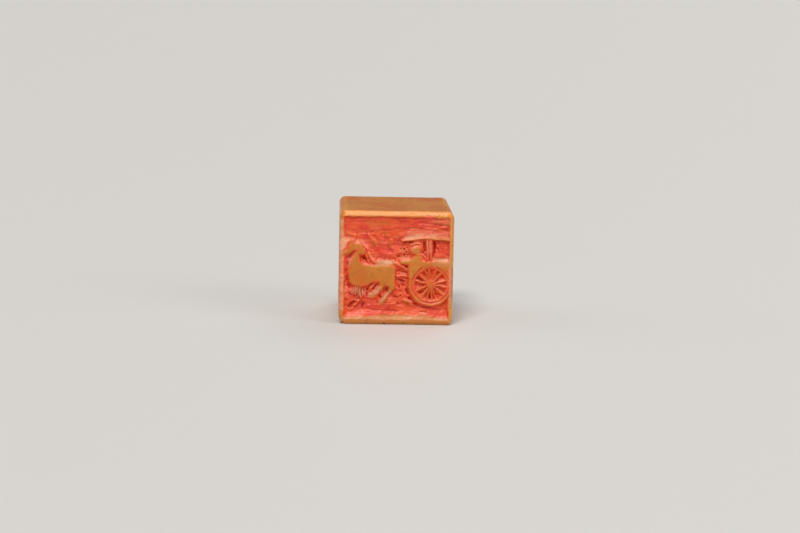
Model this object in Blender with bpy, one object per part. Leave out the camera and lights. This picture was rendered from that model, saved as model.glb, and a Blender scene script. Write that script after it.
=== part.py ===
"""A carved stone seal lying on its side.

The stone is a squared block with rounded edges. One square end carries a picture
in relief: a horse trotting to the left and a canopied carriage with its driver.
The block lies along Y, the carved end faces -Y, and the origin is under its middle.
"""

import math

import bmesh
import bpy
import numpy as np

MM = 0.001

# The block
FACE_WIDTH = 24.0 * MM
FACE_HEIGHT = 24.0 * MM
LENGTH = 30.0 * MM
# Each long edge is rounded over a width and a height, because the four aren't alike
TOP_LEFT_EDGE = (1.4 * MM, 1.4 * MM)
TOP_RIGHT_EDGE = (1.4 * MM, 1.5 * MM)
LOWER_RIGHT_EDGE = (0.8 * MM, 2.2 * MM)
LOWER_LEFT_EDGE = (1.9 * MM, 1.9 * MM)
BACK_ROUNDING = 1.5 * MM

# The bevel around the carved end
SIDE_BEVEL = 0.85 * MM
TOP_BEVEL = 1.0 * MM
FOOT_BEVEL = 1.1 * MM
BEVEL_DEPTH = 1.0 * MM
# How far the bevel swells out of flat, as a share of what a full quarter round would
BEVEL_SWELL = 0.3
# A corner that is drawn in keeps at least this share of its rounding
LEAST_CORNER = 0.15

# The sunk ground of the picture, and what is left standing round it
GROUND_DEPTH = 0.9 * MM
WALL_LEAN = 0.22 * MM
SIDE_RIM = 0.2 * MM
TOP_RIM = 0.15 * MM
FOOT_RIM = 1.1 * MM
FIELD_ROUNDING = 0.6 * MM

# Cutting shapes run this far past the surfaces that they cut
OVERRUN = 0.1 * MM

# The picture is drawn on paper of 24 squares each way, from the middle of the foot of the face
SQUARES = 24
SQUARE_X = FACE_WIDTH / SQUARES
SQUARE_Z = FACE_HEIGHT / SQUARES
SQUARE = (SQUARE_X + SQUARE_Z) / 2

# The carriage wheel, in squares
WHEEL_CENTRE = (7.2, 8.75)
WHEEL_RADIUS = 4.85
RIM_INNER_RADIUS = 3.7
HUB_RADIUS = 1.4
SPOKES = 11
SPOKE_WIDTH = 0.45
# Cut by hand, the spokes open out towards one side. In degrees, counter-clockwise from the right
FIRST_SPOKE = 13
SPOKE_SPREAD = 8
SPREAD_TOWARDS = 296

# The fringe on the horse's chest, in squares
FRINGE_STRANDS = 5
FRINGE_START_X = -8.95
FRINGE_SPACING = 0.47

# Fineness of the curves
CORNER_STEPS = 6
BEVEL_STEPS = 3
CURVE_STEPS = 3
CAP_STEPS = 4
CIRCLE_STEPS = 56
SHARP_ANGLE = math.radians(32)

STONE_COLOUR = (0.56, 0.20, 0.05, 1.0)
STONE_ROUGHNESS = 0.38

FRONT_Y = -LENGTH / 2


def clear_scene():
    for item in list(bpy.data.objects):
        bpy.data.objects.remove(item)


def stone_material():
    material = bpy.data.materials.new("honey_stone")
    material.use_nodes = True
    shader = material.node_tree.nodes["Principled BSDF"]
    shader.inputs["Base Color"].default_value = STONE_COLOUR
    shader.inputs["Roughness"].default_value = STONE_ROUGHNESS
    shader.inputs["Metallic"].default_value = 0.0
    return material


def add_object(name, body):
    """An object with the given bmesh, its faces made triangles that point outwards."""
    bmesh.ops.triangulate(body, faces=body.faces[:])
    bmesh.ops.recalc_face_normals(body, faces=body.faces[:])
    mesh = bpy.data.meshes.new(name)
    body.to_mesh(mesh)
    body.free()
    made = bpy.data.objects.new(name, mesh)
    bpy.context.scene.collection.objects.link(made)
    return made


def cut_away(target, cutters):
    """Cuts every cutter out of the target for good, one after another."""
    for cutter in cutters:
        cut = target.modifiers.new("cut_" + cutter.name, "BOOLEAN")
        cut.operation = "DIFFERENCE"
        cut.solver = "MANIFOLD"
        cut.object = cutter
    graph = bpy.context.evaluated_depsgraph_get()
    result = bpy.data.meshes.new_from_object(target.evaluated_get(graph), depsgraph=graph)
    target.modifiers.clear()
    target.data = result
    for cutter in cutters:
        bpy.data.objects.remove(cutter)


# The block's cross-section

def rounded_corner(corner_x, corner_z, size, turn):
    """Points round one corner, counter-clockwise. turn is 0 for top right, then 1, 2 and 3."""
    side_x = (1, -1, -1, 1)[turn]
    side_z = (1, 1, -1, -1)[turn]
    centre_x = corner_x - side_x * size[0]
    centre_z = corner_z - side_z * size[1]
    points = []
    for step in range(CORNER_STEPS + 1):
        angle = math.pi / 2 * (turn + step / CORNER_STEPS)
        points.append((centre_x + size[0] * math.cos(angle), centre_z + size[1] * math.sin(angle)))
    return points


def section(side_in, top_in, foot_in):
    """The block's outline, drawn in from its sides, top and foot."""
    right = FACE_WIDTH / 2 - side_in
    top = FACE_HEIGHT - top_in
    corners = (
        (right, top, TOP_RIGHT_EDGE, top_in),
        (-right, top, TOP_LEFT_EDGE, top_in),
        (-right, foot_in, LOWER_LEFT_EDGE, foot_in),
        (right, foot_in, LOWER_RIGHT_EDGE, foot_in),
    )
    points = []
    for turn, (corner_x, corner_z, edge, end_in) in enumerate(corners):
        width = max(edge[0] - side_in, LEAST_CORNER * edge[0])
        height = max(edge[1] - end_in, LEAST_CORNER * edge[1])
        points += rounded_corner(corner_x, corner_z, (width, height), turn)
    return points


def front_rings():
    """(y, outline) from the carved end to the end of its bevel, a flat bevel with a slight swell."""
    for step in range(BEVEL_STEPS + 1):
        share = step / BEVEL_STEPS
        round_turn = math.pi / 2 * share
        drawn_in = (1 - BEVEL_SWELL) * (1 - share) + BEVEL_SWELL * (1 - math.sin(round_turn))
        along = (1 - BEVEL_SWELL) * share + BEVEL_SWELL * (1 - math.cos(round_turn))
        outline = section(SIDE_BEVEL * drawn_in, TOP_BEVEL * drawn_in, FOOT_BEVEL * drawn_in)
        yield FRONT_Y + BEVEL_DEPTH * along, outline


def back_rings():
    """(y, outline) round the plain end's rounded edge."""
    for step in range(CORNER_STEPS + 1):
        angle = math.pi / 2 * step / CORNER_STEPS
        drawn_in = BACK_ROUNDING * (1 - math.cos(angle))
        yield LENGTH / 2 - BACK_ROUNDING * (1 - math.sin(angle)), section(drawn_in, drawn_in, drawn_in)


def make_block():
    body = bmesh.new()
    rings = []
    for y, outline in list(front_rings()) + list(back_rings()):
        rings.append([body.verts.new((x, y, z)) for x, z in outline])
    for ring, after in zip(rings, rings[1:]):
        for i in range(len(ring)):
            j = (i + 1) % len(ring)
            body.faces.new((ring[i], ring[j], after[j], after[i]))
    body.faces.new(rings[0])
    body.faces.new(rings[-1])
    return add_object("seal_stone", body)


# Curves and prisms of the relief

def curve_through(points, closed=False):
    """Rows along a smooth curve through the given rows."""
    rows = np.array(points, float)
    last = len(rows) - 1
    made = []
    for i in range(len(rows) if closed else last):
        near = [i - 1, i, i + 1, i + 2]
        if closed:
            near = [k % len(rows) for k in near]
        before, start, end, after = (rows[min(max(k, 0), last)] for k in near)
        for t in np.arange(CURVE_STEPS) / CURVE_STEPS:
            bend = 2 * before - 5 * start + 4 * end - after
            twist = 3 * (start - end) - before + after
            made.append(start + ((end - before) * t + bend * t**2 + twist * t**3) / 2)
    if not closed:
        made.append(rows[-1])
    return np.array(made)


def to_face(points):
    """Points on the squared paper, in metres on the face."""
    return np.asarray(points, float) * (SQUARE_X, SQUARE_Z)


def spread(outline, distance):
    """A closed outline moved outwards by a distance."""
    along = np.roll(outline, -1, axis=0) - np.roll(outline, 1, axis=0)
    along /= np.linalg.norm(along, axis=1)[:, None]
    outwards = np.stack([along[:, 1], -along[:, 0]], axis=1)
    x, z = outline.T
    turning = np.sum(x * np.roll(z, -1) - z * np.roll(x, -1))
    return outline + outwards * distance * np.sign(turning)


def stroke_outline(points, wider):
    """The outline of a brush stroke along points of (x, z, width), its ends round."""
    rows = curve_through(points)
    centre = to_face(rows[:, :2])
    half = rows[:, 2] * SQUARE / 2 + wider
    along = np.gradient(centre, axis=0)
    along /= np.linalg.norm(along, axis=1)[:, None]
    across = np.stack([-along[:, 1], along[:, 0]], axis=1)
    left = centre + across * half[:, None]
    right = centre - across * half[:, None]
    caps = []
    for end, sign in ((-1, 1), (0, -1)):
        turns = math.pi * np.arange(1, CAP_STEPS) / CAP_STEPS
        ways = np.outer(np.cos(turns), -across[end]) + np.outer(np.sin(turns), along[end])
        caps.append(centre[end] + sign * half[end] * ways)
    return np.concatenate([right, caps[0], left[::-1], caps[1]])


def circle(centre, radius):
    turns = 2 * math.pi * np.arange(CIRCLE_STEPS) / CIRCLE_STEPS
    return centre + radius * np.stack([np.cos(turns), np.sin(turns)], axis=1)


def prism(name, upper, lower, upper_depth, lower_depth):
    """A solid between two outlines with as many points, each at its depth under the face."""
    body = bmesh.new()
    loops = []
    for outline, depth in ((upper, upper_depth), (lower, lower_depth)):
        loops.append([body.verts.new((x, FRONT_Y + depth, z)) for x, z in outline])
    for i in range(len(upper)):
        j = (i + 1) % len(upper)
        body.faces.new((loops[0][i], loops[0][j], loops[1][j], loops[1][i]))
    body.faces.new(loops[0])
    body.faces.new(loops[1])
    return add_object(name, body)


def raised_form(outline_wider_by, sunk):
    """A solid that reaches from under the ground up past the face, with leaning walls.

    outline_wider_by gives its outline, made wider by a length. sunk is how far down its top lies, as a
    share of the ground's depth.
    """
    top = sunk * GROUND_DEPTH if sunk else -OVERRUN
    root = GROUND_DEPTH + OVERRUN
    narrow, wide = (WALL_LEAN * (depth / GROUND_DEPTH - sunk) for depth in (top, root))
    return prism("raised_form", outline_wider_by(narrow), outline_wider_by(wide), top, root)


def stroke(points, sunk=0.0):
    """A raised form along points of (x, z, width)."""
    return raised_form(lambda wider: stroke_outline(points, wider), sunk)


def patch(points, sunk=0.0):
    """A raised form with a smooth outline through the given points."""
    outline = to_face(curve_through(points, closed=True))
    return raised_form(lambda wider: spread(outline, wider), sunk)


def disc(centre, radius):
    return raised_form(lambda wider: circle(to_face(centre), radius * SQUARE + wider), 0.0)


def ring(centre, inner_radius, outer_radius):
    """A disc with a hole through it. The hole's wall leans in as it goes down, as the disc's leans out."""
    ends = (-2 * OVERRUN, GROUND_DEPTH + 2 * OVERRUN)
    radii = [inner_radius * SQUARE - WALL_LEAN * depth / GROUND_DEPTH for depth in ends]
    hole = prism("hole", *(circle(to_face(centre), radius) for radius in radii), *ends)
    band = disc(centre, outer_radius)
    cut_away(band, [hole])
    return band


# The picture. Points are (x, z) or (x, z, width) in squares of the paper

def horse():
    trunk = (
        (-9.9, 11.8), (-9.7, 9.9), (-9.2, 8.9), (-7.6, 8.6), (-5.8, 8.6),
        (-4.6, 9.2), (-3.4, 8.9), (-1.6, 8.6), (-0.3, 9.3), (-0.05, 11.2),
        (-0.6, 12.7), (-3.0, 12.8), (-6.6, 12.7), (-7.8, 13.4), (-9.3, 13.8),
    )
    neck = ((-8.6, 12.6, 2.2), (-8.35, 14.2, 1.7), (-8.0, 15.6, 1.9), (-8.1, 16.5, 1.9), (-8.5, 16.9, 1.6))
    head = ((-8.6, 16.7, 1.5), (-9.4, 16.1, 1.5), (-10.1, 15.5, 1.15), (-10.8, 14.95, 0.8))
    ear = ((-8.8, 17.5, 0.5), (-8.6, 18.3, 0.28))
    far_leg = ((-3.2, 9.4, 1.6), (-3.0, 8.1, 1.2), (-3.6, 7.1, 0.95), (-4.6, 6.1, 0.85), (-4.9, 5.4, 0.8))
    near_leg = ((-1.0, 9.0, 1.6), (-0.5, 8.1, 0.95), (-1.1, 7.1, 0.7), (-2.2, 6.0, 0.6), (-3.0, 5.0, 0.75))
    foreleg = ((-6.6, 8.9, 1.0), (-6.4, 7.4, 0.65), (-6.7, 6.0, 0.55), (-7.5, 4.8, 0.5), (-8.7, 3.7, 0.45))
    return [patch(trunk)] + [stroke(limb) for limb in (neck, head, ear, far_leg, near_leg, foreleg)]


def trappings():
    """The mane, straps and fringe, and the feet, a little lower than the horse."""
    mane = ((-8.0, 17.5, 0.6), (-7.0, 16.7, 0.7), (-6.0, 15.7, 0.55), (-5.1, 14.9, 0.35))
    back_strap = ((-6.0, 15.2, 0.35), (-5.2, 14.1, 0.45), (-4.6, 13.0, 0.6))
    neck_strap = ((-6.9, 15.4, 0.3), (-6.1, 14.3, 0.3), (-5.8, 13.0, 0.4))
    shin = ((-9.3, 5.4, 0.35), (-8.2, 5.3, 0.5), (-7.2, 5.5, 0.5))
    hoof = ((-8.6, 3.8, 0.5), (-9.3, 3.2, 0.45), (-9.8, 2.6, 0.4))
    far_hoof = ((-10.9, 4.3, 0.4), (-10.4, 3.6, 0.35), (-9.8, 3.0, 0.35))
    girth = ((-6.0, 6.9, 0.35), (-5.2, 7.7, 0.4), (-4.3, 8.8, 0.4))
    forms = [stroke(mane, 0.25), stroke(back_strap, 0.15), stroke(neck_strap, 0.25), stroke(shin, 0.2)]
    forms += [stroke(hoof, 0.1), stroke(far_hoof, 0.35), stroke(girth, 0.3)]
    for strand in range(FRINGE_STRANDS):
        x = FRINGE_START_X + FRINGE_SPACING * strand
        foot_z = 6.0 + 0.25 * (strand % 2)
        forms.append(stroke(((x, 9.0, 0.3), (x + 0.05, 7.6, 0.28), (x + 0.2, foot_z, 0.22)), 0.1))
    return forms


def shafts():
    """The shafts that run from the horse's rump to the carriage."""
    upper = ((-0.5, 13.0, 0.5), (1.1, 12.4, 0.42), (2.6, 11.4, 0.5))
    middle = ((-0.4, 10.3, 0.5), (1.4, 10.2, 0.4), (3.0, 10.3, 0.5))
    lower = ((-0.4, 9.6, 0.45), (1.3, 9.3, 0.35), (3.0, 8.8, 0.4))
    return [stroke(upper, 0.1), stroke(middle, 0.1), stroke(lower, 0.3)]


def carriage():
    front_post = ((3.1, 13.4, 1.3), (2.95, 11.9, 1.1), (3.1, 10.2, 1.1))
    front_floor = ((1.3, 13.55, 0.75), (2.6, 13.6, 1.0), (4.4, 13.3, 1.6), (6.2, 12.9, 1.2))
    back_floor = ((6.6, 13.2, 1.3), (8.6, 13.3, 1.45), (10.2, 13.2, 1.4), (12.0, 13.0, 1.4))
    underside = ((3.6, 12.1, 1.4), (6.0, 12.7, 1.0), (9.0, 12.7, 1.0), (12.0, 12.0, 1.8))
    rail = ((5.1, 15.0, 0.3), (5.9, 14.4, 0.35), (6.3, 13.4, 0.4))
    beams = (front_post, front_floor, back_floor, underside)
    return [stroke(beam) for beam in beams] + [stroke(rail, 0.2)]


def driver():
    """A plain robed figure: a round head with a low cap, and shoulders that widen into the seat."""
    head = ((3.05, 15.6), (3.5, 16.35), (4.4, 16.4), (4.95, 15.7), (4.5, 15.0), (3.6, 14.95))
    robe = ((4.1, 15.0, 1.2), (4.3, 14.3, 1.8), (4.2, 13.4, 2.8))
    cap = ((2.9, 16.4, 0.25), (3.8, 16.95, 0.35), (4.8, 16.9, 0.25))
    return [patch(head), stroke(robe), stroke(cap, 0.3)]


def canopy():
    """The bowed roof, its finial, and the two ribs of the pole under it."""
    roof = ((1.6, 18.2, 0.35), (4.0, 18.75, 0.7), (6.6, 19.0, 0.85), (9.0, 18.7, 0.8), (12.0, 18.2, 0.8))
    finial = ((7.1, 19.2, 0.6), (7.1, 19.9, 0.35))
    forms = [stroke(roof), stroke(finial)]
    for x, width in ((6.42, 0.55), (7.3, 0.62)):
        forms.append(stroke(((x, 18.8, width), (x, 13.2, width)), 0.08))
    return forms


def ground_marks():
    """Low lumps that the chisel left standing in the ground."""
    return [
        stroke(((-11.4, 19.7, 0.5), (-10.3, 19.3, 0.6), (-9.3, 18.9, 0.4)), 0.5),
        stroke(((-5.9, 19.0, 0.4), (-4.9, 17.8, 0.7), (-4.1, 16.5, 0.5)), 0.45),
        stroke(((-2.3, 19.4, 0.5), (-2.0, 18.8, 0.6)), 0.55),
        stroke(((-1.1, 17.7, 0.6), (-1.2, 16.5, 0.7)), 0.5),
        stroke(((-1.4, 15.3, 0.4), (-1.7, 14.7, 0.4)), 0.55),
        stroke(((1.9, 5.1, 0.5), (2.6, 4.9, 0.7), (3.4, 4.4, 0.4)), 0.4),
    ]


def spoke_turn(spoke):
    """A spoke's direction in radians."""
    even = FIRST_SPOKE + 360 * spoke / SPOKES
    return math.radians(even + SPOKE_SPREAD * math.cos(math.radians(even - SPREAD_TOWARDS)))


def wheel():
    """The rim, the hub and the spokes, which run from inside the hub to inside the rim."""
    centre = np.array(WHEEL_CENTRE)
    rim_middle = (RIM_INNER_RADIUS + WHEEL_RADIUS) / 2
    forms = [ring(WHEEL_CENTRE, RIM_INNER_RADIUS, WHEEL_RADIUS), disc(WHEEL_CENTRE, HUB_RADIUS)]
    for spoke in range(SPOKES):
        way = np.array((math.cos(spoke_turn(spoke)), math.sin(spoke_turn(spoke))))
        ends = (centre + HUB_RADIUS / 2 * way, centre + rim_middle * way)
        forms.append(stroke([(*end, SPOKE_WIDTH) for end in ends]))
    return forms


def cleared_ground():
    """The space that the carver cleared: the sunk field, less the raised forms that stand in it."""
    right = FACE_WIDTH / 2 - SIDE_BEVEL - SIDE_RIM
    top = FACE_HEIGHT - TOP_BEVEL - TOP_RIM
    foot = FOOT_BEVEL + FOOT_RIM
    outline = []
    corners = ((right, top), (-right, top), (-right, foot), (right, foot))
    for turn, (corner_x, corner_z) in enumerate(corners):
        outline += rounded_corner(corner_x, corner_z, (FIELD_ROUNDING, FIELD_ROUNDING), turn)
    outline = np.array(outline)
    mouth = spread(outline, WALL_LEAN * OVERRUN / GROUND_DEPTH)
    field = prism("cleared_ground", mouth, spread(outline, -WALL_LEAN), -OVERRUN, GROUND_DEPTH)
    for draw in (horse, trappings, shafts, carriage, driver, canopy, wheel, ground_marks):
        cut_away(field, draw())
    return field


def main():
    clear_scene()
    stone = make_block()
    cut_away(stone, [cleared_ground()])
    stone.data.materials.append(stone_material())
    stone.data.shade_smooth()
    stone.data.set_sharp_from_angle(angle=SHARP_ANGLE)


main()
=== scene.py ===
"""The looks of a carved stone seal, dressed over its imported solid.

The stone is one piece of mesh. Its carved end is a fine grid, sunk by depths that are worked out from the
outlines of the carved forms, and the rest are rings along the block. Red seal paste is a finish on it.
"""

import itertools
import math

import bpy
import numpy as np
from mathutils import Matrix, Vector


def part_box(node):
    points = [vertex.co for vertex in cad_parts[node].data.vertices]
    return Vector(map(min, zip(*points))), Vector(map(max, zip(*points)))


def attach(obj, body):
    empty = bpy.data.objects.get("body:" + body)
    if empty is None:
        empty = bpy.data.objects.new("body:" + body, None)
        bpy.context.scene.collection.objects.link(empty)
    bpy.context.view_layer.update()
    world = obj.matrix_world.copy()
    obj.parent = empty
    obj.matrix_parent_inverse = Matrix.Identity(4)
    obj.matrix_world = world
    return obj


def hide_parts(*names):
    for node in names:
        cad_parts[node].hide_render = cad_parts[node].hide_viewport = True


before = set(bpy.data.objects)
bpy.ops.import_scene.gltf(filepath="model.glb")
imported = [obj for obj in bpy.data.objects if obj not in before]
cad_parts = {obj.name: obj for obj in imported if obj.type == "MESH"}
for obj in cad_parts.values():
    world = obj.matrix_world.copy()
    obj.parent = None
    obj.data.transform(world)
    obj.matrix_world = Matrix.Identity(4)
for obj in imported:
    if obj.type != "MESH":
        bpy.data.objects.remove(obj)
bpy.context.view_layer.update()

# Sizes of the stone and its carving are in millimetres
MM = 0.001
low_corner, high_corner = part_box("seal_stone")
WIDTH = (high_corner.x - low_corner.x) / MM
LENGTH = (high_corner.y - low_corner.y) / MM
HEIGHT = (high_corner.z - low_corner.z) / MM
FRONT = -LENGTH / 2

# The four long edges are rounded over a width and a height
LOWER_LEFT_EDGE = (1.9, 1.9)
LOWER_RIGHT_EDGE = (0.8, 2.2)
TOP_RIGHT_EDGE = (1.4, 1.5)
TOP_LEFT_EDGE = (1.4, 1.4)
LEAST_CORNER = 0.15
BACK_ROUNDING = 1.5

# The bevel round the carved end
SIDE_BEVEL = 0.85
TOP_BEVEL = 1.0
FOOT_BEVEL = 1.1
BEVEL_DEPTH = 1.0
BEVEL_SWELL = 0.3

# Cells along each side of the carved end, and along each side of the block behind its bevel
FACE_CELLS = 264
BLOCK_CELLS = FACE_CELLS // 4
ARC_STEPS = 32
BEVEL_RINGS = 8
BLOCK_RINGS = 46
BACK_RINGS = 7

# The carving
GROUND_DEPTH = 0.9
WALL_WIDTH = 0.45
# The sides that look up are cut back and wider
UPPER_EDGE_INSET = 0.34
UPPER_WALL_EXTRA = 0.3
SHOULDER = 0.16
# Fillets at the foot of the forms, where forms meet, and where the slopes inside the rims do
FOOT_FILLET = 0.36
FORM_FILLET = 0.05
RIM_FILLET = 0.35
# The slopes inside the rims: where each starts, and its run down to the ground
LEFT_RIM, LEFT_RUN = 11.1, 0.9
RIGHT_RIM, RIGHT_RUN = 11.2, 0.55
TOP_RIM, TOP_RUN = 22.82, 0.4
FOOT_RIM, FOOT_RUN = 1.2, 1.6
# A narrow form's sides are narrower too, as far as these half widths
THINNEST_HALF = 0.05
WIDEST_HALF = 0.8
OUTLINE_WOBBLE = 0.12
GOUGE_WOBBLE = 0.1
# Gouges and punch marks are cut this much deeper, and punch marks wider, than their lists say
GOUGE_GAIN = 1.15
PUNCH_GAIN = 1.3
PUNCH_SPREAD = 1.6
# How far in from its edge the top of a form is stained by paste
STAIN_REACH = 0.6
# Paste ends between these distances behind the carved surface, and the stone's own finish goes on
PASTE_END = (0.5, 1.1)
CURVE_STEPS = 5
# Stands for well away from the edge of any form
FAR = 9.0
# Nicks within this distance of an end are pressed mostly along the block
NICK_END_ZONE = 2.0
NICK_END_PULL = 8.0


def smooth_share(value, low, high):
    """0 below low, 1 above high and a smooth rise between them."""
    share = np.clip((value - low) / (high - low), 0, 1)
    return share * share * (3 - 2 * share)


def soft_least(a, b, blend):
    """The lesser of two surfaces, with a fillet where they meet."""
    near = np.maximum(blend - np.abs(a - b), 0) / blend
    return np.minimum(a, b) - near * near * blend / 4


def clouds(places, sizes, seed):
    """Smooth noise from -1 to 1 at the last axis of places, whose lumps have these sizes."""
    lattice_side = 32
    places = places / np.asarray(sizes, float)
    dimensions = places.shape[-1]
    lattice = np.random.default_rng(seed).uniform(-1, 1, (lattice_side,) * dimensions)
    base = np.floor(places).astype(int)
    share = places - base
    share = share * share * (3 - 2 * share)
    total = 0
    for corner in itertools.product((0, 1), repeat=dimensions):
        index = tuple((base[..., k] + corner[k]) % lattice_side for k in range(dimensions))
        weights = np.where(np.array(corner, bool), share, 1 - share)
        total = total + lattice[index] * weights.prod(axis=-1)
    return total


# The block


def outline(side_in, top_in, foot_in, cells):
    """Points round the block, drawn in from its sides, top and foot, with so many cells to a side.

    They run counter-clockwise as seen from the carved end, from the middle of the lower left edge.
    """
    right = WIDTH / 2 - side_in
    top = HEIGHT - top_in
    corners = (
        (-right, foot_in, -1, -1, LOWER_LEFT_EDGE, foot_in),
        (right, foot_in, 1, -1, LOWER_RIGHT_EDGE, foot_in),
        (right, top, 1, 1, TOP_RIGHT_EDGE, top_in),
        (-right, top, -1, 1, TOP_LEFT_EDGE, top_in),
    )
    arcs = []
    for turn, (x, z, side_x, side_z, edge, end_in) in enumerate(corners):
        across = max(edge[0] - side_in, LEAST_CORNER * edge[0])
        upright = max(edge[1] - end_in, LEAST_CORNER * edge[1])
        angles = np.radians(np.linspace(0, 90, ARC_STEPS + 1) + 180 + 90 * turn)
        arc_x = x - side_x * across + across * np.cos(angles)
        arc_z = z - side_z * upright + upright * np.sin(angles)
        arcs.append(np.stack([arc_x, arc_z], axis=1))
    sides = []
    middle = ARC_STEPS // 2
    for turn in range(4):
        path = np.concatenate([arcs[turn][middle:], arcs[(turn + 1) % 4][: middle + 1]])
        run = np.concatenate([[0], np.cumsum(np.linalg.norm(np.diff(path, axis=0), axis=1))])
        places = np.linspace(0, run[-1], cells + 1)[:-1]
        sides.append(np.stack([np.interp(places, run, path[:, k]) for k in (0, 1)], axis=1))
    return np.concatenate(sides)


def fill_outline(ring):
    """A square grid of points that fills an outline, rows from the foot up."""
    cells = len(ring) // 4
    closed = np.concatenate([ring, ring[:1]])
    foot = closed[: cells + 1]
    right = closed[cells : 2 * cells + 1]
    top = closed[2 * cells : 3 * cells + 1][::-1]
    left = closed[3 * cells :][::-1]
    u = np.linspace(0, 1, cells + 1)[None, :, None]
    v = np.linspace(0, 1, cells + 1)[:, None, None]
    between_rows = (1 - v) * foot[None] + v * top[None]
    between_columns = (1 - u) * left[:, None] + u * right[:, None]
    lower = (1 - u) * foot[0] + u * foot[-1]
    upper = (1 - u) * top[0] + u * top[-1]
    return between_rows + between_columns - ((1 - v) * lower + v * upper)


def grid_faces(cells, first, turned):
    """Faces of a square grid of points. turned makes them look the other way."""
    index = first + np.arange((cells + 1) ** 2).reshape(cells + 1, cells + 1)
    faces = np.stack([index[:-1, :-1], index[:-1, 1:], index[1:, 1:], index[1:, :-1]], axis=-1)
    return faces.reshape(-1, 4)[:, :: -1 if turned else 1]


def grid_border(cells, first):
    """Indices round a square grid, in the order of an outline."""
    index = first + np.arange((cells + 1) ** 2).reshape(cells + 1, cells + 1)
    return np.concatenate([index[0, :-1], index[:-1, -1], index[-1, :0:-1], index[:0:-1, 0]])


def band_faces(before, after):
    """Faces between two rings with as many points."""
    return np.stack([before, after, np.roll(after, -1), np.roll(before, -1)], axis=1)


def thinning_faces(before, after):
    """Triangles between a ring and one with a quarter of its points."""
    count = len(after)
    faces = []
    for q in range(count):
        this, following = after[q], after[(q + 1) % count]
        fine = [before[(4 * q + k) % (4 * count)] for k in range(5)]
        faces += [(fine[0], this, fine[1]), (fine[1], this, fine[2]), (fine[2], this, following)]
        faces += [(fine[2], following, fine[3]), (fine[3], following, fine[4])]
    return np.array(faces)


# The carving. Points are (x, z) or (x, z, width), in millimetres from the middle of the foot of the face

TRUNK = (
    (-9.9, 11.8), (-9.85, 9.9), (-9.4, 8.6), (-7.7, 8.15), (-6.2, 8.3),
    (-5.0, 9.0), (-3.6, 9.0), (-2.0, 8.2), (-0.5, 8.9), (-0.2, 11.2),
    (-0.6, 12.35), (-3.0, 12.55), (-6.4, 12.85), (-7.5, 13.1), (-8.6, 13.4),
)
HORSE_HEAD = (
    (-11.5, 15.3), (-10.9, 15.6), (-10.4, 16.0), (-10.15, 16.7), (-9.95, 17.4), (-9.55, 18.0), (-9.1, 18.3),
    (-8.8, 18.0), (-8.85, 17.5), (-8.4, 17.3), (-8.0, 17.4), (-7.5, 17.05), (-6.95, 16.2), (-6.55, 15.2),
    (-6.75, 14.85), (-7.4, 14.9), (-8.0, 14.9), (-8.4, 15.4), (-8.9, 15.55), (-9.5, 15.2), (-10.1, 14.85),
    (-10.9, 14.75),
)
DRIVER_HEAD = ((2.7, 15.8), (3.3, 16.45), (4.2, 16.75), (4.95, 16.3), (4.95, 15.5), (4.5, 14.95), (3.5, 15.0))

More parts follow.
